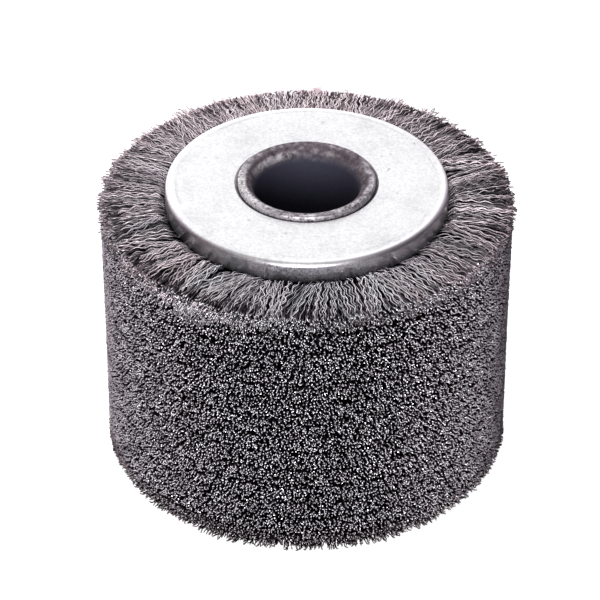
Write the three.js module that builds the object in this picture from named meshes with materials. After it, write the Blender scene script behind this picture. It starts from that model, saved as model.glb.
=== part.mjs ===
// Wire drum brush: a wide cylinder of crimped steel wire, built from narrow wire sections that are
// stacked on a hub tube and clamped between two pressed end flanges by the flared ends of the tube.
// Millimetres, +Z along the bore. The brush stands on its lower hub lip at z = 0.
import * as THREE from 'three';

// Driving dimensions
const BRUSH_RADIUS = 50;
const FACE_WIDTH = 70; // width of the wire face along the axis
const SECTION_COUNT = 14;
const BORE_RADIUS = 12.7; // one inch bore
const TUBE_WALL = 1.8;
const LIP_RADIUS = 16.7; // flared end of the hub tube
const LIP_RISE = 1.1; // top of the lip above the flange face
const LIP_BEVEL_WIDTH = 0.5; // worn outer edge of the lip
const LIP_BEVEL_HEIGHT = 0.4;
const LIP_FLAT = 0.7; // width of the lip's flat top
const FLARE_CURVE = [[1.8, 0.7], [0.8, -0.2], [0.2, -1.4], [0, -3]]; // outside the bore, above the flange face
const FLANGE_RADIUS = 34.4;
const FLANGE_RISE = 4.2; // flange face above the end of the wire face
const SHEET = 1.6; // flange sheet thickness
const EDGE_BEND = 1.6; // outside radius of the bend into the flange rim
const RIM_BITE = 1.2; // how far the rim's edge presses into the wire
const SEAT_OUTER_RADIUS = 17.5; // dished seat that the lip is flared into
const SEAT_INNER_RADIUS = 15.3;
const SEAT_DEPTH = 2.1;
const SEAT_UNDERSIDE_SHIFT = 0.6; // the seat's upper bend is this much wider below the sheet
const LIP_UNDERCUT = 0.4; // the lip's lower edge is this far below the flange face
const CONE_DEPTH = 2.5; // the flare starts this far below the flange face
const PACK_INNER_RADIUS = 15.2; // folded wires reach in to here
const HOOP_RADIUS = 16.4; // centre line of the retaining ring
const HOOP_WIRE_RADIUS = 0.9;
const PLATE_TUBE_CLEARANCE = 0.5;
const PLATE_OUTER_RADIUS = 24;
const PLATE_THICKNESS = 0.5;
const CORNER_CHAMFER = 1.5; // worn outer corner of the two end sections
const GAP = 0.3; // clearance between touching pieces
const FOLD_DEPTH = 4; // depth of the V where the wires fold
const ROOT_TAPER = 0.1; // a pack is this much thinner at its root on each side
const GROOVE_MARGIN = 0.15; // extra room outside the flange rim in its groove

// Facets around each kind of piece
const HUB_FACETS = 48;
const WIRE_FACETS = 32;
const INNER_FACETS = 24;
const HOOP_SIDES = 5;

// Worked out from the driving dimensions, measured from the middle of the face width
const PITCH = FACE_WIDTH / SECTION_COUNT;
const FACE_END = FACE_WIDTH / 2;
const FLANGE_FACE = FACE_END + FLANGE_RISE;
const HALF_HEIGHT = FLANGE_FACE + LIP_RISE;
const TUBE_RADIUS = BORE_RADIUS + TUBE_WALL;
const PLATE_INNER_RADIUS = TUBE_RADIUS + PLATE_TUBE_CLEARANCE;

const wireSteel = new THREE.MeshStandardMaterial({ color: 0x6e6b6c, roughness: 0.5, metalness: 0.9 });
const galvanised = new THREE.MeshStandardMaterial({ color: 0xd8d8da, roughness: 0.45, metalness: 0.8 });
const tubeSteel = new THREE.MeshStandardMaterial({ color: 0x9c949b, roughness: 0.5, metalness: 0.85 });
const innerSteel = new THREE.MeshStandardMaterial({ color: 0x8b8d90, roughness: 0.5, metalness: 0.85 });

// A solid of revolution about Z. The outline is a closed loop of [radius, height] points, listed
// anticlockwise with radius to the right and height upwards.
function turned(outline, facets) {
  const points = outline.map(([radius, height]) => new THREE.Vector2(radius, height));
  points.push(points[0].clone());
  return new THREE.LatheGeometry(points, facets).rotateX(Math.PI / 2);
}

// Points along an arc, in degrees anticlockwise from the outward direction.
function arc(centreRadius, centreHeight, arcRadius, from, to, steps) {
  const points = [];
  for (let step = 0; step <= steps; step += 1) {
    const angle = THREE.MathUtils.degToRad(from + ((to - from) * step) / steps);
    points.push([centreRadius + arcRadius * Math.cos(angle), centreHeight + arcRadius * Math.sin(angle)]);
  }
  return points;
}

// One flared end of the hub tube, from its outer wall over the lip and down into the bore. Its cone
// follows the dished seat of the flange with a small clearance.
function flaredEnd() {
  return [
    [TUBE_RADIUS, FLANGE_FACE - CONE_DEPTH],
    [LIP_RADIUS, FLANGE_FACE - LIP_UNDERCUT],
    [LIP_RADIUS, HALF_HEIGHT - LIP_BEVEL_HEIGHT],
    [LIP_RADIUS - LIP_BEVEL_WIDTH, HALF_HEIGHT],
    [LIP_RADIUS - LIP_BEVEL_WIDTH - LIP_FLAT, HALF_HEIGHT],
    ...FLARE_CURVE.map(([outside, above]) => [BORE_RADIUS + outside, FLANGE_FACE + above]),
  ];
}

// Turns an outline end for end, and keeps it anticlockwise.
function mirrored(outline) {
  return outline.map(([radius, height]) => [radius, -height]).reverse();
}

function hubTubeGeometry() {
  return turned([...flaredEnd(), ...mirrored(flaredEnd())], HUB_FACETS);
}

// A pressed cup: flat face, dished seat round the hole, and a rim turned down into the wire.
function flangeGeometry() {
  const rimEdge = FACE_END - RIM_BITE;
  const bendRadius = FLANGE_RADIUS - EDGE_BEND;
  const bendHeight = FLANGE_FACE - EDGE_BEND;
  const seat = new THREE.Vector2(SEAT_OUTER_RADIUS - SEAT_INNER_RADIUS, SEAT_DEPTH).normalize();
  return turned([
    [FLANGE_RADIUS, rimEdge],
    ...arc(bendRadius, bendHeight, EDGE_BEND, 0, 90, 4),
    [SEAT_OUTER_RADIUS, FLANGE_FACE],
    [SEAT_INNER_RADIUS, FLANGE_FACE - SEAT_DEPTH],
    [SEAT_INNER_RADIUS + SHEET * seat.y, FLANGE_FACE - SEAT_DEPTH - SHEET * seat.x],
    [SEAT_OUTER_RADIUS + SEAT_UNDERSIDE_SHIFT, FLANGE_FACE - SHEET],
    [FLANGE_RADIUS - SHEET, FLANGE_FACE - SHEET],
    [FLANGE_RADIUS - SHEET, rimEdge],
  ], HUB_FACETS);
}

// The wires of one section fold round a retaining ring, so the pack is open towards the tube in a V,
// and it is thinner there to leave room for the divider plates.
const packHalf = PITCH / 2 - GAP / 2;
const rootHalf = PITCH / 2 - PLATE_THICKNESS / 2 - GAP - ROOT_TAPER;
const foldApexRadius = PACK_INNER_RADIUS + FOLD_DEPTH;

function wireSectionGeometry() {
  return turned([
    [BRUSH_RADIUS, -packHalf],
    [BRUSH_RADIUS, packHalf],
    [PACK_INNER_RADIUS, rootHalf],
    [foldApexRadius, 0],
    [PACK_INNER_RADIUS, -rootHalf],
  ], WIRE_FACETS);
}

// The upper end section also has the worn corner and the groove that the flange rim presses in.
function endSectionGeometry() {
  const end = PITCH / 2;
  const grooveFloor = end - RIM_BITE - GAP;
  const grooveOuter = FLANGE_RADIUS + GAP + GROOVE_MARGIN;
  const grooveInner = FLANGE_RADIUS - SHEET - GAP;
  const clampedTop = end + FLANGE_RISE - SEAT_DEPTH - SHEET;
  return turned([
    [BRUSH_RADIUS, -packHalf],
    [BRUSH_RADIUS, end - CORNER_CHAMFER],
    [BRUSH_RADIUS - CORNER_CHAMFER, end],
    [grooveOuter, end],
    [grooveOuter, grooveFloor],
    [grooveInner, grooveFloor],
    [grooveInner, clampedTop],
    [PACK_INNER_RADIUS, clampedTop],
    [PACK_INNER_RADIUS, rootHalf],
    [foldApexRadius, 0],
    [PACK_INNER_RADIUS, -rootHalf],
  ], WIRE_FACETS);
}

function retainingRingGeometry() {
  const hoop = arc(HOOP_RADIUS, 0, HOOP_WIRE_RADIUS, 0, 360 - 360 / HOOP_SIDES, HOOP_SIDES - 1);
  return turned(hoop, INNER_FACETS);
}

function dividerPlateGeometry() {
  const half = PLATE_THICKNESS / 2;
  return turned([
    [PLATE_OUTER_RADIUS, -half],
    [PLATE_OUTER_RADIUS, half],
    [PLATE_INNER_RADIUS, half],
    [PLATE_INNER_RADIUS, -half],
  ], INNER_FACETS);
}

const group = new THREE.Group();
group.position.z = HALF_HEIGHT;

// Adds one named piece at a height above the middle of the face width. A piece that is turned over
// faces down.
function place(name, geometry, material, height = 0, turnedOver = false) {
  const piece = new THREE.Mesh(geometry, material);
  piece.name = name;
  piece.position.z = height;
  piece.rotation.x = turnedOver ? Math.PI : 0;
  group.add(piece);
}

const twoDigits = (number) => String(number).padStart(2, '0');

place('hub_tube', hubTubeGeometry(), tubeSteel);
place('end_flange_top', flangeGeometry(), galvanised);
place('end_flange_bottom', flangeGeometry(), galvanised, 0, true);

for (let index = 0; index < SECTION_COUNT; index += 1) {
  const height = (index + 0.5) * PITCH - FACE_END;
  const bottom = index === 0;
  const top = index === SECTION_COUNT - 1;
  const number = twoDigits(index + 1);
  const section = bottom || top ? endSectionGeometry() : wireSectionGeometry();
  place(`wire_section_${number}`, section, wireSteel, height, bottom);
  place(`retaining_ring_${number}`, retainingRingGeometry(), innerSteel, height);
  if (!top) {
    place(`divider_plate_${number}`, dividerPlateGeometry(), innerSteel, height + PITCH / 2);
  }
}

export default group;
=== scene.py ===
import math

import bpy
import numpy as np
from mathutils import Matrix, Vector


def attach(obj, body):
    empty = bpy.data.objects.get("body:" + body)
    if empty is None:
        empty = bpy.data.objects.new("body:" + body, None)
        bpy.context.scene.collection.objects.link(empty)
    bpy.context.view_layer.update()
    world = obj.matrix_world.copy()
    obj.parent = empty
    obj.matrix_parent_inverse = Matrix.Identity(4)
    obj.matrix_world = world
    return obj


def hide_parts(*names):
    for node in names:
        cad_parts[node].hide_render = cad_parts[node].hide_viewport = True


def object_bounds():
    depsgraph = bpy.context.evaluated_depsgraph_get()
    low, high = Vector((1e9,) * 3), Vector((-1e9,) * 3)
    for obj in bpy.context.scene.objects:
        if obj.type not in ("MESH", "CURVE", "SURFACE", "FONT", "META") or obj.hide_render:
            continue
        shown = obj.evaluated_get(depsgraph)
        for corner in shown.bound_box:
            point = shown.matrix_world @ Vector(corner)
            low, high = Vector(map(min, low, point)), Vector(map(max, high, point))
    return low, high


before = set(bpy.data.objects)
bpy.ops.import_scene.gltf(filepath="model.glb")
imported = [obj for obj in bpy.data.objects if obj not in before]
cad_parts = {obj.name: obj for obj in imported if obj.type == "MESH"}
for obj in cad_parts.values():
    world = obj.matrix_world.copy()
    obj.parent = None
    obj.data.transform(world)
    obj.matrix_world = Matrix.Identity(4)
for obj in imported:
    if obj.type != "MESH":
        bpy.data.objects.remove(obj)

cad_low, cad_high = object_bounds()

# ---------------------------------------------------------------- sizes, in millimetres
MM = 0.001
BRUSH_RADIUS = 1000 * cad_high.x
MID_HEIGHT = 500 * (cad_low.z + cad_high.z)
HALF_HEIGHT = 500 * (cad_high.z - cad_low.z)
FACE_WIDTH = 70.0
SECTION_COUNT = sum(name.startswith("wire_section_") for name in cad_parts)
PITCH = FACE_WIDTH / SECTION_COUNT
FACE_END = FACE_WIDTH / 2     # heights are measured from the middle of the face width

FLANGE_RISE = 4.2
FLANGE_FACE = FACE_END + FLANGE_RISE
FLANGE_RADIUS = 34.4
EDGE_BEND = 2.1               # the flange bends down this far inside its rim
SHEET = 1.6
RIM_BITE = 1.2                # the rim's edge is this far below the end of the wire face
SEAT_OUTER, SEAT_INNER, SEAT_DEPTH = 17.5, 15.3, 2.1
LIP_RADIUS = 16.7
BORE_RADIUS = 12.7
TUBE_RADIUS = 14.5
LATHE_FACETS = 192

SIDE_WIRE_RADIUS = 0.17       # of the three-sided wires, so they look 0.3 mm thick
END_WIRE_RADIUS = 0.15
CRIMP_PITCH = 3.5
CRIMP_HEIGHT = 0.32

TIP_SPACING = 0.70            # between the tips on the side, before they jitter and drift
TIP_JITTER = 0.38
TIP_DRIFT = 0.12
TIP_DEPTHS = np.array([4.4, 1.9, 0.8, 0.36, 0.14, 0.0])   # points along a side wire, root first
SHADE_DEPTHS = [0, 0.36, 0.8, 1.9, 4.4]                   # painted shade: how a side wire is painted darker below its tip, as its neighbours shade it
DEPTH_SHADES = [1, 0.80, 0.31, 0.10, 0.05]
HOOK_LENGTH = 0.28            # the last part of a side wire, which hooks sideways
SEAM_WIDTH = 0.55             # of the dark seams between the sections
FLOOR_SHADE_AND_TINT_BAND = 4.5               # of the tips along the lower edge that are painted darker, as shade near the floor, and tinted browner
TEETH = 128                   # wires bunch in short teeth along the lower edge
TEETH_HEIGHT = 2.2            # they fade out this far up the side

END_WIRES_AROUND = 400        # in each layer of an end face
LAYER_DROP = 0.40
END_MIDDLE = 42.0             # where a leaning wire crosses its own radius
END_LAYERS = (                # name, layers, steps along a wire, share of stray wires in the upper end
    ("outer", 2, 26, 0.03), ("middle", 3, 18, 0.0), ("inner", 4, 12, 0.0))

PACK_INNER = 15.2
PACK_OUTER = 46.2             # behind this radius a section is packed roots
PACK_SHOULDER = 26.0          # inside this radius it tapers to the fold
PACK_GAP = 0.02               # half the gap between the roots of two sections
PACK_FACETS = 96
FOLD_HALF = 1.85              # half the thickness where the wires fold
FOLD_DEPTH = 4.0
END_RELIEF = 3.6              # an end section's roots stop this far below its lying wires

# Arcs round the brush: the middle and half width in degrees anticlockwise from +X, seen from above, and
# a power for how square it is, 2 if not given. The camera stands at -90 degrees.
FRONT_SIDE = (-90, 62, 4)
FRONT_ARC = (-85, 42)
FRONT_RIGHT_ARC = (-52, 16)
BACK_ARC = (90, 62)
SWIRL_ARC = (-110, 24)        # the upper wires lean to one side here,
SWEPT_ARC = (-122, 20)        # lie open to the light
DROOP_ARC = (-122, 17)        # and bend down
LOWER_BULGES = (((-112, 7), 1.0), ((-68, 5), 0.7))     # where the lower edge stands out, and how much
SIDE_LIGHT_AND_SHADE = (((-46, 20), 0.18), ((20, 42, 4), -0.48), ((-175, 55, 4), -0.10))   # painted light and shade: arcs of the side painted brighter or darker

SEED = 20261


# ---------------------------------------------------------------- mesh helpers
def new_piece(name, verts_mm, faces, smooth, uvs):
    """A mesh object from arrays. faces, smooth and uvs are lists with an entry for each kind of face."""
    mesh = bpy.data.meshes.new(name)
    corners = np.concatenate([f.reshape(-1) for f in faces]).astype(np.int32)
    sizes = np.concatenate([np.full(len(f), f.shape[1], np.int32) for f in faces])
    starts = np.concatenate([[0], np.cumsum(sizes)[:-1]]).astype(np.int32)
    places = np.asarray(verts_mm, float) * MM + [0, 0, MID_HEIGHT * MM]
    mesh.vertices.add(len(verts_mm))
    mesh.vertices.foreach_set("co", places.ravel())
    mesh.loops.add(len(corners))
    mesh.loops.foreach_set("vertex_index", corners)
    mesh.polygons.add(len(sizes))
    mesh.polygons.foreach_set("loop_start", starts)
    mesh.polygons.foreach_set("use_smooth", np.concatenate(smooth))
    layer = mesh.uv_layers.new(name="OFBake")
    layer.uv.foreach_set("vector", np.concatenate([u.reshape(-1, 2) for u in uvs]).ravel())
    mesh.update(calc_edges=True)
    mesh.validate()
    piece = bpy.data.objects.new(name, mesh)
    bpy.context.scene.collection.objects.link(piece)
    return piece


def point_attribute(piece, name, values):
    attribute = piece.data.attributes.new(name, "FLOAT", "POINT")
    attribute.data.foreach_set("value", np.ascontiguousarray(values, dtype=np.float32).ravel())


def wire_arrays(paths, radius, roll):
    """Three-sided closed tubes along paths (wires, points, 3), each turned on its line by its roll.

    Returns vertices, faces, smooth flags and UVs, where each wire has its own cell of the map.
    """
    sides = 3
    count, points, _ = paths.shape
    along = np.gradient(paths, axis=1)
    along /= np.linalg.norm(along, axis=2, keepdims=True)
    across = np.cross(np.array([0.0, 0.0, 1.0]), along)
    across /= np.linalg.norm(across, axis=2, keepdims=True)
    upward = np.cross(along, across)
    turn = roll[:, None, None] + 2 * np.pi * np.arange(sides)[None, None, :] / sides
    ring = np.cos(turn)[..., None] * across[:, :, None, :]
    ring = ring + np.sin(turn)[..., None] * upward[:, :, None, :]
    verts = (paths[:, :, None, :] + radius * ring).reshape(-1, 3)

    wire = np.arange(count)[:, None, None]
    step = np.arange(points - 1)[None, :, None]
    side = np.arange(sides)[None, None, :]
    after = (side + 1) % sides

    def index(w, s, k):
        return (w * points + s) * sides + k

    quads = np.stack(np.broadcast_arrays(
        index(wire, step, side), index(wire, step, after),
        index(wire, step + 1, after), index(wire, step + 1, side)), axis=-1).reshape(-1, 4)
    w = np.arange(count)[:, None]
    tips = index(w, points - 1, np.arange(sides)[None, :])
    roots = index(w, 0, np.arange(sides)[None, ::-1])

    columns = math.ceil(math.sqrt(count))
    cell = np.arange(count)
    margin = 0.15
    left = (cell % columns) / columns + margin / columns
    low = (cell // columns) / columns + margin / columns
    inside = (1 - 2 * margin) / columns

    def uv(u, v):
        u, v = np.broadcast_arrays(u, v)
        return np.stack([left[:, None, None] + inside * u, low[:, None, None] + inside * v], axis=-1)

    here, there = step / (points - 1), (step + 1) / (points - 1)
    quad_uv = np.stack([
        uv(side / sides, here), uv((side + 1) / sides, here),
        uv((side + 1) / sides, there), uv(side / sides, there)], axis=-2).reshape(-1, 4, 2)
    cap_u = np.array([0.0, 0.5, 1.0])[None, None, :]
    tip_uv = uv(cap_u, np.array([1.0, 0.9, 1.0])[None, None, :]).reshape(-1, 3, 2)
    root_uv = uv(cap_u, np.array([0.0, 0.1, 0.0])[None, None, :]).reshape(-1, 3, 2)
    smooth = [np.ones(len(quads), bool), np.zeros(count, bool), np.zeros(count, bool)]
    return verts, [quads, tips, roots], smooth, [quad_uv, tip_uv, root_uv]


def fillet(corners, steps=5):
    """A closed outline of [radius, height, fillet] corners with each corner rounded."""
    outline = []
    count = len(corners)
    for i, (r, z, size) in enumerate(corners):
        here = Vector((r, z))
        before = Vector(corners[i - 1][:2]) - here
        after = Vector(corners[(i + 1) % count][:2]) - here
        half = before.angle(after) / 2
        reach = min(size / math.tan(half), 0.49 * before.length, 0.49 * after.length)
        inward = (before.normalized() + after.normalized()).normalized()
        centre = here + inward * (reach / math.cos(half))
        start = here + before.normalized() * reach - centre
        end = here + after.normalized() * reach - centre
        sweep = start.angle_signed(end)
        for k in range(steps + 1):
            turned = start.copy()
            turned.rotate(Matrix.Rotation(-sweep * k / steps, 2))
            outline.append(tuple(centre + turned))
    return outline


def upside_down(outline):
    """An outline of [radius, height, ...] points turned end for end, with its direction kept."""
    return [(r, -z, *more) for r, z, *more in reversed(outline)]


def turned_arrays(outline, facets):
    """Vertices, faces and UVs of a closed solid of revolution about the bore."""
    outline = np.array(outline)
    n = len(outline)
    angle = 2 * np.pi * np.arange(facets)[:, None] / facets
    radius, height = outline[None, :, 0], np.broadcast_to(outline[:, 1], (facets, n))
    verts = np.stack([radius * np.cos(angle), radius * np.sin(angle), height], axis=-1).reshape(-1, 3)

    a = np.arange(facets)[:, None]
    p = np.arange(n)[None, :]
    b, q = (a + 1) % facets, (p + 1) % n
    quads = np.broadcast_arrays(a * n + p, b * n + p, b * n + q, a * n + q)
    quads = np.stack(quads, axis=-1).reshape(-1, 4)

    lengths = np.linalg.norm(np.roll(outline, -1, axis=0) - outline, axis=1)
    v = np.concatenate([[0], np.cumsum(lengths)]) / lengths.sum()
    u0, u1 = a / facets, (a + 1) / facets
    v0, v1 = v[:-1][None, :], v[1:][None, :]
    corners = ((u0, v0), (u1, v0), (u1, v1), (u0, v1))
    uvs = np.stack([np.stack(np.broadcast_arrays(u, w), axis=-1) for u, w in corners], axis=-2)
    margin = 0.01
    return verts, quads, uvs.reshape(-1, 4, 2) * (1 - 2 * margin) + margin


def turned_piece(name, outline):
    verts, quads, uvs = turned_arrays(outline, LATHE_FACETS)
    return new_piece(name, verts, [quads], [np.ones(len(quads), bool)], [uvs])


# ---------------------------------------------------------------- noise on a cylinder
class RingNoise:
    """Smooth seeded noise of angle and height, periodic round the brush, from sines of about one size."""

    def __init__(self, seed, size, waves=24):
        rng = np.random.default_rng(seed)
        turn = rng.uniform(0, 2 * np.pi, waves)
        spread = rng.uniform(0.6, 1.4, waves)
        self.around = np.round(BRUSH_RADIUS * np.cos(turn) * spread * 2 * np.pi / size)
        self.along = np.sin(turn) * spread * 2 * np.pi / size
        self.phase = rng.uniform(0, 2 * np.pi, waves)
        self.scale = math.sqrt(2 / waves)

    def __call__(self, angle, height):
        total = np.zeros(np.broadcast(angle, height).shape)
        for a, h, p in zip(self.around, self.along, self.phase):
            total = total + np.sin(a * angle + h * height + p)
        return total * self.scale


# Over the whole brush
tone_patches = RingNoise(SEED + 5, 9.0)
tint_patches = RingNoise(SEED + 7, 14.0)
lock_pinch = RingNoise(SEED + 15, 4.0)

# Wires of the side
drift_around = RingNoise(SEED + 1, 3.2)
drift_along = RingNoise(SEED + 2, 3.2)
crimp_plane = RingNoise(SEED + 3, 5.0)
crimp_phase = RingNoise(SEED + 4, 4.0)
hook_direction = RingNoise(SEED + 6, 2.4)
seam_depth = RingNoise(SEED + 17, 16.0)
tooth_sizes = np.random.default_rng(SEED + 8).uniform(0.1, 1.0, TEETH)

# Wires of the end faces, which lie together in locks and narrow strands
lock_lean = RingNoise(SEED + 10, 12.0)
lock_phase = RingNoise(SEED + 11, 9.0)
lock_plane = RingNoise(SEED + 12, 9.0)
lock_tip = RingNoise(SEED + 13, 3.6)
lock_level = RingNoise(SEED + 14, 6.0)
lock_lift = RingNoise(SEED + 16, 6.0)
strand_pinch = RingNoise(SEED + 18, 1.7)
strand_tone = RingNoise(SEED + 19, 1.4)


def near(angle, middle, half_width, power=2):
    """1 in the middle of an arc round the brush, falling smoothly to 0 outside it."""
    away = np.degrees(np.angle(np.exp(1j * (angle - math.radians(middle)))))
    return np.exp(-(away / half_width) ** power)


def near_height(height, middle, half_width):
    """1 at a height, falling smoothly to 0 above and below it."""
    return np.exp(-((height - middle) / half_width) ** 2)


# ---------------------------------------------------------------- wires
def lower_edge(angle):
    """How far the teeth of the lower edge stand out, and the place of each wire across its tooth."""
    place = angle * TEETH / (2 * np.pi) + 0.4 * lock_pinch(angle, 0)
    across = place - np.floor(place) - 0.5
    size = tooth_sizes[np.floor(place).astype(int) % TEETH]
    bulges = sum(share * near(angle, *arc) for arc, share in LOWER_BULGES)
    return 0.8 * size * np.cos(np.pi * across) - 0.2 + 0.7 * bulges, across


def tan_share(angle, height):
    """How tan the wires of the upper end are: bright steel in front, tan at the back and sides."""
    share = 1.1 - 0.9 * near(angle, *FRONT_ARC) - 0.3 * near(angle, *SWEPT_ARC)
    return np.clip(share + 0.2 * tint_patches(angle, height), 0, 1)


def corner_loss(distance, size):
    """How far a rounded outer corner falls back at a distance from the end of the face."""
    inside = np.clip(size - distance, 0, size)
    return size - np.sqrt(size ** 2 - inside ** 2)


def side_places(centre, rng):
    """The angle and height of each tip of one section, in staggered rows that jitter and drift."""
    rows = round(PITCH / TIP_SPACING)
    around = round(2 * np.pi * BRUSH_RADIUS / TIP_SPACING)
    row, column = np.meshgrid(np.arange(rows), np.arange(around), indexing="ij")
    height = centre + ((row + 0.5) / rows - 0.5) * (PITCH - 0.3)
    angle = 2 * np.pi * (column + 0.5 * (row % 2)) / around
    height = (height + rng.uniform(-TIP_JITTER, TIP_JITTER, height.shape)).ravel()
    angle = (angle + rng.uniform(-TIP_JITTER, TIP_JITTER, angle.shape) / BRUSH_RADIUS).ravel()
    drifted = height + TIP_DRIFT * drift_along(angle, height)
    angle = angle + TIP_DRIFT * drift_around(angle, height) / BRUSH_RADIUS
    return angle, drifted


def side_paths(angle, height, tip, rng):
    """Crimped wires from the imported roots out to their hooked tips."""
    count = len(angle)
    radius = tip[:, None] - TIP_DEPTHS[None, :]
    plane = np.pi * crimp_plane(angle, height) + rng.uniform(-1.1, 1.1, count)
    phase = 2 * np.pi * crimp_phase(angle, height) + rng.uniform(-1.2, 1.2, count)
    size = CRIMP_HEIGHT * rng.uniform(0.6, 1.1, count)
    wave = 2 * np.pi * radius / CRIMP_PITCH + phase[:, None]
    swing = size[:, None] * (np.sin(wave) - np.sin(wave[:, -1:]))
    hook = rng.uniform(0.08, 0.66, count)[:, None] * (np.exp(-TIP_DEPTHS / HOOK_LENGTH)[None, :] - 0.5)
    hook_turn = 1.4 * hook_direction(angle, height) + rng.uniform(-np.pi, np.pi, count)
    sideways = swing * np.cos(plane)[:, None] + hook * np.cos(hook_turn)[:, None]
    lengthways = swing * np.sin(plane)[:, None] + hook * np.sin(hook_turn)[:, None]
    turn = angle[:, None] + sideways / radius
    rise = np.clip(height[:, None] + lengthways, -FACE_END - 0.1, FACE_END + 0.2)
    return np.stack([radius * np.cos(turn), radius * np.sin(turn), rise], axis=-1)


def side_wires(index, rng):
    """The wires of one section whose tips make the side. Returns paths, tone, tint and shade."""
    centre = (index + 0.5) * PITCH - FACE_END
    angle, height = side_places(centre, rng)
    count = len(angle)
    lowest = near_height(height, -FACE_END, TEETH_HEIGHT)
    edge, across_tooth = lower_edge(angle)
    angle = angle - 0.5 * lowest * across_tooth * 2 * np.pi / TEETH
    behind = 1 - near(angle, *FRONT_SIDE)
    spread = 0.25 * np.clip(-height / FACE_END, 0, 1)     # the lower half widens a little
    tip = BRUSH_RADIUS + 0.1 + rng.normal(0, 0.06, count) + spread
    tip += lowest * edge
    tip -= corner_loss(height + FACE_END, 0.5) + corner_loss(FACE_END - height, 0.8 + 1.6 * behind)
    paths = side_paths(angle, height, tip, rng)

    seam = near_height(np.abs(height - centre), PITCH / 2, SEAM_WIDTH)
    seam *= np.clip(0.5 + seam_depth(angle, height), 0, 1)
    floor_shade_and_tint = near_height(height, -FACE_END, FLOOR_SHADE_AND_TINT_BAND)
    tone = 1.04 + 0.15 * rng.normal(0, 1, count) + 0.07 * tone_patches(angle, height) - 0.28 * seam
    # Painted light and shade: arcs of the side are painted brighter at the front right and darker on the
    # right and on the left.
    for arc, change in SIDE_LIGHT_AND_SHADE:
        tone *= 1 + change * near(angle, *arc)
    # Painted shade: the tips along the lower edge are painted darker, as shade near the floor; they are
    # also tinted browner.
    tone *= 1 - 0.42 * floor_shade_and_tint
    # Painted shade: each side wire is painted darker below its tip, as the wires around it shade it. Next
    # to the ends of the face, where nothing shades the wires, this painted shade is lifted. On the upper
    # half it reaches further from the end everywhere but at the front, which paints those wires lighter.
    below_tip = np.interp(TIP_DEPTHS, SHADE_DEPTHS, DEPTH_SHADES)
    painted_shade_lift = np.exp(-(FACE_END - np.abs(height)) / (0.8 + 2.0 * behind * (height > 0)))
    tone = np.clip(tone, 0.3, 1.10)[:, None] * np.maximum(below_tip[None, :], 0.6 * painted_shade_lift[:, None])
    tint_amount = np.clip(rng.normal(0.05, 0.08, count), 0, 1)
    tint_amount += 0.5 * floor_shade_and_tint
    tint_amount = np.maximum(tint_amount, 0.6 * (height > 0) * painted_shade_lift * tan_share(angle, 0))
    whole_wire = np.ones_like(tone)
    return paths, tone, tint_amount[:, None] * whole_wire, 1 - painted_shade_lift[:, None] * whole_wire


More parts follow.
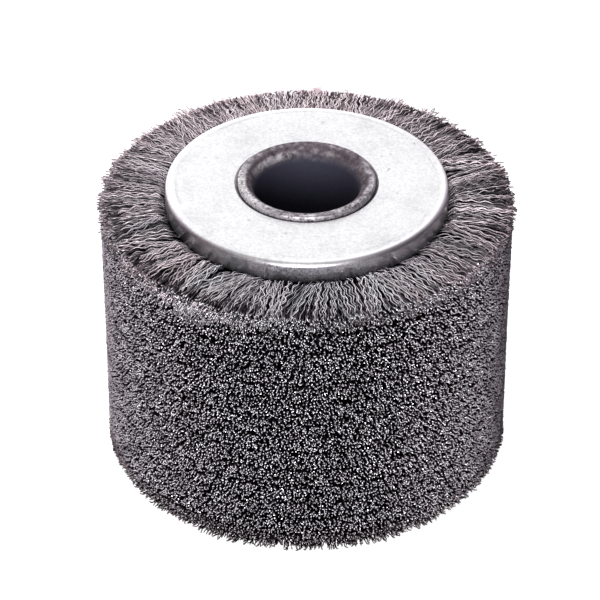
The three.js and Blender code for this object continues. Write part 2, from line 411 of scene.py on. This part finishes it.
def end_wires(rng, layers, first_level, steps, stray_share, ragged):
    """Wires that lie in the upper end face, in combed layers that share their lean and crimp.

    ragged is 1 for uneven tips that vary round the brush, or 0 for the plain toothed edge of the lower
    end. Returns paths, tone, tint and shade.
    """
    layer = np.repeat(np.arange(layers), END_WIRES_AROUND)
    count = len(layer)
    level = first_level - LAYER_DROP * layer
    slot = np.tile(np.arange(END_WIRES_AROUND), layers)
    angle = 2 * np.pi * (slot + 0.5 * layer + rng.uniform(-0.3, 0.3, count)) / END_WIRES_AROUND
    shift = 2.3 * level       # the noise of each layer is another slice of the same noise

    stray = rng.random(count) < stray_share
    swirl = -15 * ragged * near(angle, *SWIRL_ARC)
    lean = np.radians(swirl + 8 * lock_lean(angle, shift) + rng.normal(0, 5.5, count))
    lean += stray * rng.uniform(-0.45, 0.45, count)
    phase = 3.4 * lock_phase(angle, shift) + rng.normal(0, 0.8, count)
    phase += stray * rng.uniform(0, 6, count)
    plane = 0.5 * lock_plane(angle, shift) + rng.normal(0, 0.5, count)

    back = near(angle, *BACK_ARC)
    edge, across_tooth = lower_edge(-angle)
    uneven = 0.2 + (0.5 + 0.5 * back) * lock_tip(angle, shift) - 0.4 * back
    tip = BRUSH_RADIUS - 0.1 + (1 - ragged) * (edge - 0.3) + ragged * uneven
    tip = np.minimum(tip + rng.normal(0, 0.15 + 0.2 * ragged, count), BRUSH_RADIUS + 1.1)
    tip -= (rng.random(count) < 0.12) * rng.uniform(0, 6, count)      # some wires are short
    root = 32.0 + rng.uniform(0, 1.2, count)
    size = CRIMP_HEIGHT * rng.uniform(0.65, 1.2, count)
    level = level + 0.22 * lock_level(angle, shift) + rng.normal(0, 0.12, count)

    t = np.linspace(0, 1, steps + 1)[None, :]
    radius = root[:, None] + (tip - root)[:, None] * t
    swing = size[:, None] * np.sin(2 * np.pi * radius / CRIMP_PITCH + phase[:, None])
    sideways = np.tan(lean)[:, None] * (radius - END_MIDDLE) + swing * np.cos(plane)[:, None]
    sideways += 0.5 * lock_pinch(angle, shift)[:, None] * t ** 2
    sideways += 0.17 * strand_pinch(angle, 0.3 * shift)[:, None]
    sideways -= ((1 - ragged) * 1.2 * across_tooth)[:, None] * t ** 4
    turn = angle[:, None] + sideways / radius

    under_rim = np.clip((37.0 - radius) / 3.0, 0, 1) ** 1.4
    droop = 0.5 + 2.4 * ragged * near(angle, *DROOP_ARC)
    outward = np.clip((radius - 43) / 7, 0, 1.2) ** 2
    rise = FACE_END + level[:, None] - 1.5 * under_rim - droop[:, None] * outward
    lift = (0.15 + 0.4 * ragged) * lock_lift(angle, shift)[:, None] * outward
    rise += lift + swing * np.sin(plane)[:, None]
    rise += (stray * rng.uniform(0, 0.8, count))[:, None] * np.sin(np.pi * t)
    paths = np.stack([radius * np.cos(turn), radius * np.sin(turn), rise], axis=-1)

    swept = near(angle, *SWEPT_ARC)
    front = near(angle, *FRONT_ARC)
    front_right = near(angle, *FRONT_RIGHT_ARC)
    # Painted light and shade: the lower end's wires are painted dark, as shade near the floor. The upper
    # end's are painted brighter at the back, in front and at the front right, and most where they lie
    # swept.
    tone = 0.42 + ragged * (0.69 + 0.44 * back + 0.80 * swept + 0.19 * front + 0.20 * front_right)
    tone += 0.05 * tone_patches(angle, shift)
    tone += 0.16 * strand_tone(angle, shift)
    tone += rng.normal(0, 0.16, count)
    dark_tips = 1 - 0.2 * (ragged * front)[:, None] * np.clip(outward, 0, 1)
    # Painted shadow: the wires are painted darker next to the flange's rim, except at the back of the
    # upper end.
    rim_shadow = 0.40 + 0.60 * np.clip((radius - 34.2) / 2.0 + ragged * back[:, None], 0, 1)
    # Painted shade: lower layers are painted darker, less so towards their tips and hardly at the back of
    # the upper end.
    depth_shade = np.clip(-level / 1.3, 0, 0.97) * (1 - 0.95 * ragged * back)
    layer_shade = 1 - depth_shade[:, None] * (1 - 0.6 * np.clip(outward, 0, 1))
    tone = np.clip(tone, 0.3, 1.5)[:, None] * dark_tips * rim_shadow * layer_shade
    tint_amount = np.where(ragged > 0, tan_share(angle, shift), 0.7)[:, None] * (0.6 + 0.4 * outward)
    # The painted shade on faces turned away from the end is mostly lifted at the back and where the upper
    # wires lie swept, which paints them lighter.
    shade = (1 - ragged * np.maximum(0.95 * back, 0.5 * swept))[:, None] * np.ones_like(radius)
    return paths, tone, tint_amount, shade


def upside_down_wires(batch):
    """The same wires turned over for the lower end."""
    paths, *values = batch
    return paths * np.array([1.0, -1.0, -1.0]), *values


def root_outline(index):
    """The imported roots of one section: open in a V towards the tube, behind the visible wires."""
    centre = (index + 0.5) * PITCH - FACE_END
    low, high = PACK_GAP - PITCH / 2, PITCH / 2 - PACK_GAP
    if index == SECTION_COUNT - 1:
        high = PITCH / 2 - END_RELIEF
    if index == 0:
        low = END_RELIEF - PITCH / 2
    inner_low, inner_high = max(low, -FOLD_HALF), min(high, FOLD_HALF)
    return [
        (PACK_OUTER, centre + low), (PACK_OUTER, centre + high),
        (PACK_SHOULDER, centre + high), (PACK_INNER, centre + inner_high),
        (PACK_INNER + FOLD_DEPTH, centre + (inner_low + inner_high) / 2),
        (PACK_INNER, centre + inner_low), (PACK_SHOULDER, centre + low)]


def add_roots(index, verts, faces, smooth, uvs, values):
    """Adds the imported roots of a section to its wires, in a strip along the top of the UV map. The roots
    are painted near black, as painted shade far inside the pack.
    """
    root_verts, root_quads, root_uvs = turned_arrays(root_outline(index), PACK_FACETS)
    count = len(root_verts)
    faces[0] = np.concatenate([faces[0], root_quads + len(verts)])
    smooth[0] = np.concatenate([smooth[0], np.zeros(len(root_quads), bool)])
    uvs = [u * [1.0, 0.9] for u in uvs]
    uvs[0] = np.concatenate([uvs[0], root_uvs * [1.0, 0.08] + [0.0, 0.91]])
    # Painted shade: the roots are painted near black, as the shade far inside the pack of wires.
    tone = np.random.default_rng(SEED + 200 + index).uniform(0.0, 0.10, count)
    root_values = [tone, np.zeros(count), np.ones(count)]
    values = [np.concatenate(pair) for pair in zip(values, root_values)]
    return np.concatenate([verts, root_verts]), faces, smooth, uvs, values


def wire_piece(name, batch, thickness, material, section=None):
    """A piece of wires with their tone, tint and shade, and a section's packed roots if it has them."""
    paths, *values = batch
    roll = np.random.default_rng(SEED + 90).uniform(0, 2 * np.pi, len(paths))
    arrays = *wire_arrays(paths, thickness, roll), [np.repeat(value.ravel(), 3) for value in values]
    if section is not None:
        arrays = add_roots(section, *arrays)
    verts, faces, smooth, uvs, values = arrays
    piece = new_piece(name, verts, faces, smooth, uvs)
    for attribute, value in zip(("tone", "tint_amount", "shaded"), values):
        point_attribute(piece, attribute, value)
    piece.data.materials.append(material)
    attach(piece, "root")
    return piece


# ---------------------------------------------------------------- materials
class Graph:
    """Short names for building a node material."""

    def __init__(self, owner, shader):
        owner.use_nodes = True
        self.owner = owner
        self.nodes = owner.node_tree.nodes
        self.links = owner.node_tree.links
        self.shader = self.nodes[shader]

    def feed(self, socket, value):
        """Links a node's output to a socket, or sets the socket to a plain value."""
        if isinstance(value, bpy.types.NodeSocket):
            self.links.new(value, socket)
        else:
            socket.default_value = value

    def set(self, key, value):
        self.feed(self.shader.inputs[key], value)

    def node(self, kind, inputs=None, **settings):
        made = self.nodes.new(kind)
        for key, value in settings.items():
            setattr(made, key, value)
        for key, value in (inputs or {}).items():
            self.feed(made.inputs[key], value)
        return made

    def ramp(self, value, stops):
        made = self.nodes.new("ShaderNodeValToRGB")
        elements = made.color_ramp.elements
        while len(elements) < len(stops):
            elements.new(0.5)
        for element, (position, colour) in zip(elements, stops):
            element.position = position
            element.color = (*colour, 1)
        self.links.new(value, made.inputs["Fac"])
        return made.outputs["Color"]

    def math(self, operation, *values):
        made = self.node("ShaderNodeMath", operation=operation)
        for socket, value in zip(made.inputs, values):
            self.feed(socket, value)
        return made.outputs[0]

    def times(self, a, b):
        return self.math("MULTIPLY", a, b)

    def mix(self, blend, factor, a, b):
        """Two colours mixed. A colour is a node's output or three numbers."""
        made = self.node("ShaderNodeMix", data_type="RGBA", blend_type=blend)
        for key, kind, value in (("Factor", "VALUE", factor), ("A", "RGBA", a), ("B", "RGBA", b)):
            socket = next(s for s in made.inputs if s.name == key and s.type == kind)
            self.feed(socket, (*value, 1) if isinstance(value, tuple) else value)
        return next(s for s in made.outputs if s.type == "RGBA")

    def attribute(self, name):
        return self.node("ShaderNodeAttribute", attribute_name=name).outputs["Fac"]

    def noise(self, vector, scale, detail=2.0, rough=0.5):
        made = self.node("ShaderNodeTexNoise", {
            "Vector": vector, "Scale": scale, "Detail": detail, "Roughness": rough})
        return made.outputs["Fac"]

    def stretch(self, vector, scale):
        return self.node("ShaderNodeMapping", {"Vector": vector, "Scale": scale}).outputs["Vector"]

    def split(self, vector):
        return self.node("ShaderNodeSeparateXYZ", {"Vector": vector}).outputs

    def coordinates(self, kind):
        return self.node("ShaderNodeTexCoord").outputs[kind]

    def place(self):
        return self.coordinates("Object")

    def angle(self):
        """Angle round the bore, in radians from +X."""
        parts = self.split(self.place())
        return self.math("ARCTAN2", parts["Y"], parts["X"])

    def from_axis(self):
        parts = self.split(self.place())
        square = self.math("ADD", self.times(parts["X"], parts["X"]), self.times(parts["Y"], parts["Y"]))
        return self.math("SQRT", square)

    def round_and_up(self, turns):
        """Angle times turns, and height, as a vector for patterns that follow the rim."""
        height = self.split(self.place())["Z"]
        angle = self.times(self.angle(), turns)
        return self.node("ShaderNodeCombineXYZ", {"X": angle, "Y": height}).outputs["Vector"]

    def upward(self):
        """How squarely a surface faces along the bore's axis, either way, 0 to 1."""
        return self.math("ABSOLUTE", self.split(self.coordinates("Normal"))["Z"])

    def outward(self):
        """How squarely a surface faces away from the bore's axis, -1 to 1."""
        flat = self.node("ShaderNodeVectorMath", {0: self.place(), 1: (1, 1, 0)}, operation="MULTIPLY")
        away = self.node("ShaderNodeVectorMath", {0: flat.outputs[0]}, operation="NORMALIZE")
        square = self.node("ShaderNodeVectorMath", {
            0: self.coordinates("Normal"), 1: away.outputs[0]}, operation="DOT_PRODUCT")
        return square.outputs["Value"]

    def between(self, value, low, high):
        """0 at low, 1 at high, linear and held outside."""
        return self.node("ShaderNodeMapRange", {
            "Value": value, "From Min": low, "From Max": high}).outputs["Result"]

    def bump(self, height, strength):
        made = self.node("ShaderNodeBump", {"Height": height, "Strength": strength, "Distance": 0.1 * MM})
        self.set("Normal", made.outputs["Normal"])


WHITE = (1, 1, 1)


def new_graph(name):
    return Graph(bpy.data.materials.new(name), "Principled BSDF")


def wire_material(name, end):
    """Crimped steel wire with painted shade: bright on the faces turned out of the brush, painted darker
    on the others.

    tone, tint and shaded come from the piece. Shaded wires are painted darker where they face inwards:
    away from the end face if end is true, or from the side.
    """
    g = new_graph(name)
    steel = g.ramp(g.times(g.attribute("tone"), 0.8), [
        (0.0, (0.004, 0.004, 0.005)), (0.24, (0.06, 0.059, 0.063)), (0.48, (0.29, 0.292, 0.306)),
        (0.80, (0.765, 0.785, 0.825)), (1.0, (0.96, 0.96, 0.98))])
    colour = g.mix("MULTIPLY", g.attribute("tint_amount"), steel, (0.94, 0.77, 0.79))
    # Painted shade: faces not turned out of the brush are painted darker, mauve-tinged on the side.
    if end:
        darkening = g.ramp(g.between(g.upward(), 0.3, 0.95), [(0.0, (0.16, 0.15, 0.16)), (1.0, WHITE)])
    else:
        darkening = g.ramp(g.between(g.outward(), 0.1, 0.85), [(0.0, (0.36, 0.265, 0.31)), (1.0, WHITE)])
        g.set("Specular Tint", (0.78, 0.55, 0.66, 1))
    g.set("Base Color", g.mix("MULTIPLY", g.attribute("shaded"), colour, darkening))
    g.set("Metallic", 0.9)
    least = 0.24 if end else 0.32
    g.set("Roughness", g.math("MULTIPLY_ADD", g.noise(g.place(), 1800, 2), 0.3, least))
    return g.owner


def galvanised_material():
    """Mottled sheet with faint scratches and a stained rim, with a painted highlight on its bend towards
    the front right and the rim painted lighter at the front right and towards the back left.
    """
    g = new_graph("galvanised_sheet")
    place = g.place()
    radius = g.from_axis()
    parts = g.split(place)
    across = g.math("SUBTRACT", g.times(parts["X"], 0.77), g.times(parts["Y"], 0.64))
    toward_right = g.math("DIVIDE", across, radius)       # 1 at the front right, -1 at the back left

    cloud = g.noise(place, 110, 4, 0.6)
    grain = g.noise(place, 1400, 3, 0.7)
    specks = g.noise(place, 620, 2, 0.5)
    scratch = g.noise(g.stretch(place, (60, 1300, 60)), 1.4, 4, 0.7)
    colour = g.ramp(cloud, [
        (0.3, (0.52, 0.52, 0.53)), (0.5, (0.63, 0.63, 0.635)), (0.7, (0.71, 0.71, 0.715))])
    for pattern, stops in (
            (grain, [(0.34, (0.80, 0.80, 0.81)), (0.60, WHITE)]),
            (specks, [(0.24, (0.62, 0.60, 0.62)), (0.30, WHITE), (1.0, WHITE)]),
            (scratch, [(0.28, (0.88, 0.88, 0.89)), (0.36, WHITE), (1.0, WHITE)])):
        colour = g.mix("MULTIPLY", 1.0, colour, g.ramp(pattern, stops))
    # A faint darker ring 2.7 mm inside the edge, broken up by noise.
    faint_ring = g.math("COMPARE", radius, (FLANGE_RADIUS - 2.7) * MM, 0.25 * MM)
    darkening = g.between(g.noise(place, 60, 2), 0.42, 0.62)
    colour = g.mix("MULTIPLY", g.times(faint_ring, darkening), colour, (0.86, 0.86, 0.87))

    uneven = g.math("SUBTRACT", radius, 0.6 * MM)
    uneven = g.math("MULTIPLY_ADD", g.noise(place, 260, 3, 0.6), 1.2 * MM, uneven)
    outer_zone = g.between(uneven, (FLANGE_RADIUS - EDGE_BEND) * MM, (FLANGE_RADIUS - 1.4) * MM)
    patchy = g.math("MULTIPLY_ADD", g.noise(g.round_and_up(34), 0.5, 3, 0.6), 0.9,
                    g.math("SUBTRACT", toward_right, 0.45))
    # Painted highlight: a bright, patchy crescent on the bend, strongest towards the front right.
    bend_highlight = g.times(outer_zone, g.between(patchy, 0.3, 0.8))
    colour = g.mix("MIX", bend_highlight, colour, (0.95, 0.95, 0.96))

    streaks = g.noise(g.stretch(g.round_and_up(34), (0.24, 130, 1)), 9, 5, 0.8)
    stains_and_light = g.ramp(streaks, [(0.34, (0.06, 0.055, 0.065)), (0.62, (0.50, 0.48, 0.52))])
    for start, end in ((0.68, 1.0), (0.55, 0.0)):         # painted light: the rim is painted lighter at the front right and towards the back left, so it is darkest on either side of the front right
        stains_and_light = g.mix("MIX", g.times(g.between(toward_right, start, end), 0.5), stains_and_light, WHITE)
    on_rim = g.between(radius, (FLANGE_RADIUS - 0.45) * MM, (FLANGE_RADIUS - 0.12) * MM)
    g.set("Base Color", g.mix("MULTIPLY", on_rim, colour, stains_and_light))
    g.set("Metallic", 1.0)
    dullness = g.math("MULTIPLY_ADD", cloud, 0.3, 0.27)
    g.set("Roughness", g.math("MULTIPLY_ADD", outer_zone, -0.10, dullness))

    fine = g.math("ADD", grain, g.times(specks, 0.6))
    on_bend = g.between(radius, (FLANGE_RADIUS - 3.0) * MM, (FLANGE_RADIUS - 1.8) * MM)
    dents = g.times(g.times(g.noise(place, 330, 3, 0.6), on_bend), 7.0)
    g.bump(g.math("ADD", fine, dents), 0.12)
    return g.owner


def tube_material():
    """Tube steel: painted near black in the bore as painted shade, brown on the flare, and a rolled lip
    speckled with bright metal.

    The lip is brightest on the left and like the wall at the back, with a painted highlight streak inside
    it at the back left.
    """
    g = new_graph("tube_steel")
    place = g.place()
    radius = g.from_axis()
    parts = g.split(place)
    patches = g.noise(place, 520, 5, 0.7)
    spots = g.noise(place, 1700, 3, 0.65)

    bead = g.ramp(patches, [
        (0.36, (0.13, 0.113, 0.125)), (0.50, (0.29, 0.27, 0.29)), (0.64, (0.52, 0.50, 0.53))])
    bead = g.mix("MULTIPLY", 1.0, bead, g.ramp(spots, [
        (0.34, (0.22, 0.19, 0.21)), (0.44, (0.85, 0.84, 0.85)), (0.66, (1.35, 1.35, 1.35))]))
    wall = g.ramp(patches, [
        (0.36, (0.09, 0.074, 0.084)), (0.52, (0.16, 0.133, 0.15)), (0.66, (0.28, 0.25, 0.27))])
    # The bead is brighter, with more bright specks, on the left.
    bright_bead = g.ramp(spots, [
        (0.36, (0.16, 0.14, 0.15)), (0.46, (0.70, 0.69, 0.70)), (0.66, WHITE)])
    left_side = g.between(g.math("DIVIDE", parts["X"], radius), -0.35, -0.95)
    bead = g.mix("MIX", g.times(left_side, 0.6), bead, bright_bead)
    # At the back the bead is mostly the wall's colour.
    back_side = g.between(g.math("DIVIDE", parts["Y"], radius), 0.0, 0.6)
    bead = g.mix("MIX", g.times(back_side, 0.85), bead, wall)

    # Painted highlight: a bright streak on the flare inside the lip at the back left.
    streak_arc = g.between(g.math("ABSOLUTE", g.math("SUBTRACT", g.angle(), 2.30)), 0.6, 0.25)
    from_band = g.math("ABSOLUTE", g.math("SUBTRACT", radius, (BORE_RADIUS + 0.85) * MM))
    streak_highlight = g.times(streak_arc, g.between(from_band, 0.6 * MM, 0.15 * MM))
    streak_highlight = g.times(streak_highlight, g.between(patches, 0.35, 0.55))
    flare = g.between(radius, (BORE_RADIUS + 0.05) * MM, (BORE_RADIUS + 0.95) * MM)
    top = g.between(radius, (LIP_RADIUS - 2.3) * MM, (LIP_RADIUS - 1.5) * MM)
    # Painted shade: the bore below the flare is painted near black and blue, as the shade inside a long
    # narrow hole.
    colour = g.mix("MIX", top, g.mix("MIX", flare, (0.027, 0.026, 0.046), wall), bead)
    g.set("Base Color", g.mix("MIX", g.times(streak_highlight, 0.85), colour, (0.60, 0.57, 0.60)))
    g.set("Metallic", g.math("MULTIPLY_ADD", flare, 0.6, 0.3))
    dullness = g.math("SUBTRACT", 0.98, g.times(patches, 0.75))
    g.set("Roughness", g.math("MULTIPLY_ADD", g.math("SUBTRACT", 1.0, top), 0.2, dullness))
    g.bump(g.math("ADD", patches, spots), 0.3)
    return g.owner


def mill_steel_material():
    """Plain steel for the rings and plates inside."""
    g = new_graph("mill_steel")
    cloud = g.noise(g.place(), 300, 4)
    g.set("Base Color", g.ramp(cloud, [(0.3, (0.30, 0.30, 0.31)), (0.7, (0.50, 0.50, 0.51))]))
    g.set("Metallic", 1.0)
    g.set("Roughness", 0.5)
    g.bump(cloud, 0.1)
    return g.owner


def floor_material():
    g = new_graph("pale_floor")
    g.set("Base Color", (0.9, 0.9, 0.9, 1))
    g.set("Roughness", 0.9)
    g.set("Emission Color", (1, 1, 1, 1))
    g.set("Emission Strength", 0.5)
    return g.owner


end_steel = wire_material("crimped_wire_ends", True)
tip_steel = wire_material("crimped_wire_tips", False)
galvanised = galvanised_material()
tube_steel = tube_material()
mill_steel = mill_steel_material()


# ---------------------------------------------------------------- camera, light and floor
ELEVATION = math.radians(36.34)
DISTANCE = 712.2
LENS = 170.9
AIM_RIGHT, AIM_UP = -1.63, 3.05     # the camera looks this far off the middle of the brush
WORLD_STRENGTH = 1.85

# In metres and watts
KEY_PLACE = (-0.06, -0.94, 0.32)
KEY_SIZE = 0.6
KEY_POWER = 16.5
FLOOR_HALF = 4.0
FLOOR_GAP = 0.0002            # between the floor and the lowest plane of the brush


def make_camera():
    back = Vector((0, -math.cos(ELEVATION), math.sin(ELEVATION)))
    up = Vector((0, math.sin(ELEVATION), math.cos(ELEVATION)))
    centre = Vector((0, 0, MID_HEIGHT))
    spot = centre + back * DISTANCE
    aim = centre + Vector((AIM_RIGHT, 0, 0)) + up * AIM_UP
    camera = bpy.data.objects.new("camera", bpy.data.cameras.new("camera"))
    camera.data.lens = LENS
    camera.data.sensor_width = 36
    camera.data.clip_end = 20
    camera.location = spot * MM
    camera.rotation_mode = "QUATERNION"
    camera.rotation_quaternion = (aim - spot).to_track_quat("-Z", "Y")
    bpy.context.scene.collection.objects.link(camera)
    bpy.context.scene.camera = camera


def make_light(name, place, size, power):
    lamp = bpy.data.lights.new(name, "AREA")
    lamp.shape = "DISK"
    lamp.size = size
    lamp.energy = power
    light = bpy.data.objects.new(name, lamp)
    light.location = place
    aim = Vector((0, 0, MID_HEIGHT * MM)) - light.location
    light.rotation_mode = "QUATERNION"
    light.rotation_quaternion = aim.to_track_quat("-Z", "Y")
    bpy.context.scene.collection.objects.link(light)


def make_world():
    """A studio: white behind, dim overhead, in front and to the sides, darkest on the right."""
    world = bpy.data.worlds.new("studio")
    g = Graph(world, "Background")
    across, depth, up = g.split(g.coordinates("Generated"))

    def along(part, stops):
        """Colours from -1 to 1 of one part of the direction."""
        return g.ramp(g.math("MULTIPLY_ADD", part, 0.5, 0.5), stops)

    sides = along(across, [
        (0.03, (0.52, 0.43, 0.47)), (0.26, (1.10, 1.08, 1.10)), (0.50, (1.0, 1.0, 1.0)),
        (0.60, (0.70, 0.68, 0.70)), (0.76, (0.28, 0.25, 0.28)), (1.0, (0.08, 0.06, 0.08))])
    toward = along(depth, [
        (0.1, (0.45, 0.45, 0.45)), (0.5, (0.33, 0.33, 0.33)), (0.72, (0.75, 0.75, 0.75)),
        (0.86, (1.08, 1.08, 1.08)), (0.93, (1.04, 1.04, 1.04)), (0.99, (1.30, 1.30, 1.30))])
    overhead = along(up, [
        (0.2, (0.5, 0.5, 0.5)), (0.5, WHITE), (0.90, WHITE), (0.98, (0.75, 0.75, 0.76))])
    g.set("Color", g.mix("MULTIPLY", 1.0, g.mix("MULTIPLY", 1.0, sides, toward), overhead))
    g.set("Strength", WORLD_STRENGTH)
    bpy.context.scene.world = world


def make_floor():
    """A pale floor that lights nothing and isn't seen in reflections."""
    mesh = bpy.data.meshes.new("floor")
    half = FLOOR_HALF
    corners = [(-half, -half), (half, -half), (half, half), (-half, half)]
    mesh.from_pydata([(x, y, cad_low.z - FLOOR_GAP) for x, y in corners], [], [(0, 1, 2, 3)])
    floor = bpy.data.objects.new("floor", mesh)
    mesh.materials.append(floor_material())
    bpy.context.scene.collection.objects.link(floor)
    floor.visible_diffuse = False
    floor.visible_glossy = False


make_camera()
make_world()
make_light("key", KEY_PLACE, KEY_SIZE, KEY_POWER)
make_floor()
bpy.context.scene.view_settings.view_transform = "Standard"


# ---------------------------------------------------------------- brush sections
for index in range(SECTION_COUNT):
    number = f"{index + 1:02d}"
    rng = np.random.default_rng(SEED + 100 + index)
    piece = wire_piece(f"wires_{number}", side_wires(index, rng), SIDE_WIRE_RADIUS, tip_steel, index)
    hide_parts(f"wire_section_{number}")

for end, seed, ragged in (("top", SEED + 300, 1.0), ("bottom", SEED + 400, 0.0)):
    rng = np.random.default_rng(seed)
    above = 0
    for name, layers, steps, strays in END_LAYERS:
        batch = end_wires(rng, layers, -above * LAYER_DROP, steps, strays * ragged, ragged)
        if end == "bottom":
            batch = upside_down_wires(batch)
        wire_piece(f"end_wires_{end}_{name}", batch, END_WIRE_RADIUS, end_steel)
        above += layers


# ---------------------------------------------------------------- flanges and tube
def flange_outline():
    """The upper flange's section: a dished seat, a flat face and a rim turned down into the wire."""
    rim_edge = FACE_END - RIM_BITE
    slope = math.hypot(SEAT_OUTER - SEAT_INNER, SEAT_DEPTH)
    run, fall = (SEAT_OUTER - SEAT_INNER) / slope, SEAT_DEPTH / slope
    return fillet([
        (FLANGE_RADIUS, rim_edge, 0.25),
        (FLANGE_RADIUS, FLANGE_FACE - 0.3, 1.2),
        (FLANGE_RADIUS - EDGE_BEND, FLANGE_FACE, 2.0),
        (SEAT_OUTER, FLANGE_FACE, 0.3),
        (SEAT_INNER, FLANGE_FACE - SEAT_DEPTH, 0.15),
        (SEAT_INNER + SHEET * fall, FLANGE_FACE - SEAT_DEPTH - SHEET * run, 0.15),
        (SEAT_OUTER + SHEET / 3, FLANGE_FACE - SHEET, 0.5),
        (FLANGE_RADIUS - SHEET, FLANGE_FACE - SHEET, 0.4),
        (FLANGE_RADIUS - SHEET, rim_edge, 0.25)])


def tube_outline():
    """The tube's section: its flared upper end and the same turned over for the lower end."""
    upper = [
        (TUBE_RADIUS, FLANGE_FACE - 2.5, 0.8),
        (LIP_RADIUS, FLANGE_FACE - 0.4, 0.4),
        (LIP_RADIUS, HALF_HEIGHT, 0.5),
        (BORE_RADIUS + 1.9, HALF_HEIGHT - 0.28, 1.2),
        (BORE_RADIUS + 0.65, FLANGE_FACE - 0.5, 2.0),
        (BORE_RADIUS, FLANGE_FACE - 2.6, 2.0)]
    return fillet(upper + upside_down(upper), 6)


def place_turned(name, outline, material, node):
    piece = turned_piece(name, outline)
    piece.data.materials.append(material)
    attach(piece, "root")
    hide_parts(node)


flange = flange_outline()
place_turned("flange_top", flange, galvanised, "end_flange_top")
place_turned("flange_bottom", upside_down(flange), galvanised, "end_flange_bottom")
place_turned("flared_tube", tube_outline(), tube_steel, "hub_tube")

for name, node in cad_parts.items():
    if name.startswith(("retaining_ring_", "divider_plate_")):
        node.data.materials.clear()
        node.data.materials.append(mill_steel)
